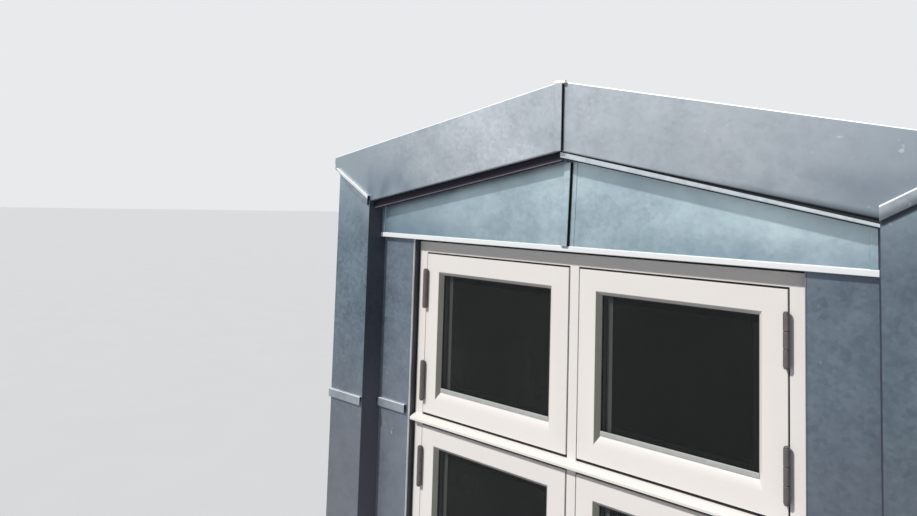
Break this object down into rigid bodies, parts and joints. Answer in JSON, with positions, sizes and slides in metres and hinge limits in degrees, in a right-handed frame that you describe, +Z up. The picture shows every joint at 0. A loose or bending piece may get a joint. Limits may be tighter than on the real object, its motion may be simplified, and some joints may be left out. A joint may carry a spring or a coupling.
{
  "type": "dormer window",
  "caption": "Zinc-clad gabled dormer with a recessed timber casement window, upright standing seams on roof and side walls, and a hollow interior open to the roof slope.",
  "frame": {"origin": "middle of the kerb's front member, on the sloped underside that lies on the main roof", "axes": "+Z up, -Y out through the window, +X to the right seen from outside"},
  "size_m": [1.893, 1.8809, 1.8709],
  "materials": {
    "zinc": "new mill zinc, mottled, semi-gloss",
    "bright_zinc": "white coated sheet",
    "paint": "off-white gloss painted timber",
    "timber": "planed softwood and board",
    "pane": "double glazing",
    "seal": "matt sealing tape",
    "hinge_steel": "dull galvanised"
  },
  "bodies": {
    "root": {"roof_kerb": "timber", "cheek_wall_left": "timber", "cheek_wall_right": "timber", "window_post_left": "timber", "window_post_right": "timber", "gable_wall": "timber", "sill_wall": "timber", "roof_deck_left": "timber", "roof_deck_right": "timber", "roof_zinc_left": "zinc", "roof_zinc_right": "zinc", "ridge_cap": "zinc", "eave_trim_left": "zinc", "eave_trim_right": "zinc", "cheek_zinc_left": "zinc", "cheek_zinc_right": "zinc", "pilaster_upper_left": "zinc", "pilaster_upper_right": "zinc", "pilaster_lower_left": "zinc", "pilaster_lower_right": "zinc", "side_panel_upper_left": "zinc", "side_panel_upper_right": "zinc", "side_panel_lower_left": "zinc", "side_panel_lower_right": "zinc", "fascia_left": "zinc", "fascia_right": "zinc", "mitre_seam_left": "zinc", "mitre_seam_right": "zinc", "apex_cap": "zinc", "gable_panel_left": "zinc", "gable_panel_right": "zinc", "gable_drip": "bright_zinc", "soffit_left": "zinc", "soffit_right": "zinc", "sill_flashing": "zinc", "apron_panel": "zinc", "joint_seal": "seal", "window_frame": "paint", "transom_moulding": "paint", "sash_upper_left": "paint", "sash_upper_right": "paint", "sash_lower_left": "paint", "sash_lower_right": "paint", "window_panes": "pane", "window_hinges": "hinge_steel"}
  },
  "joints": []
}
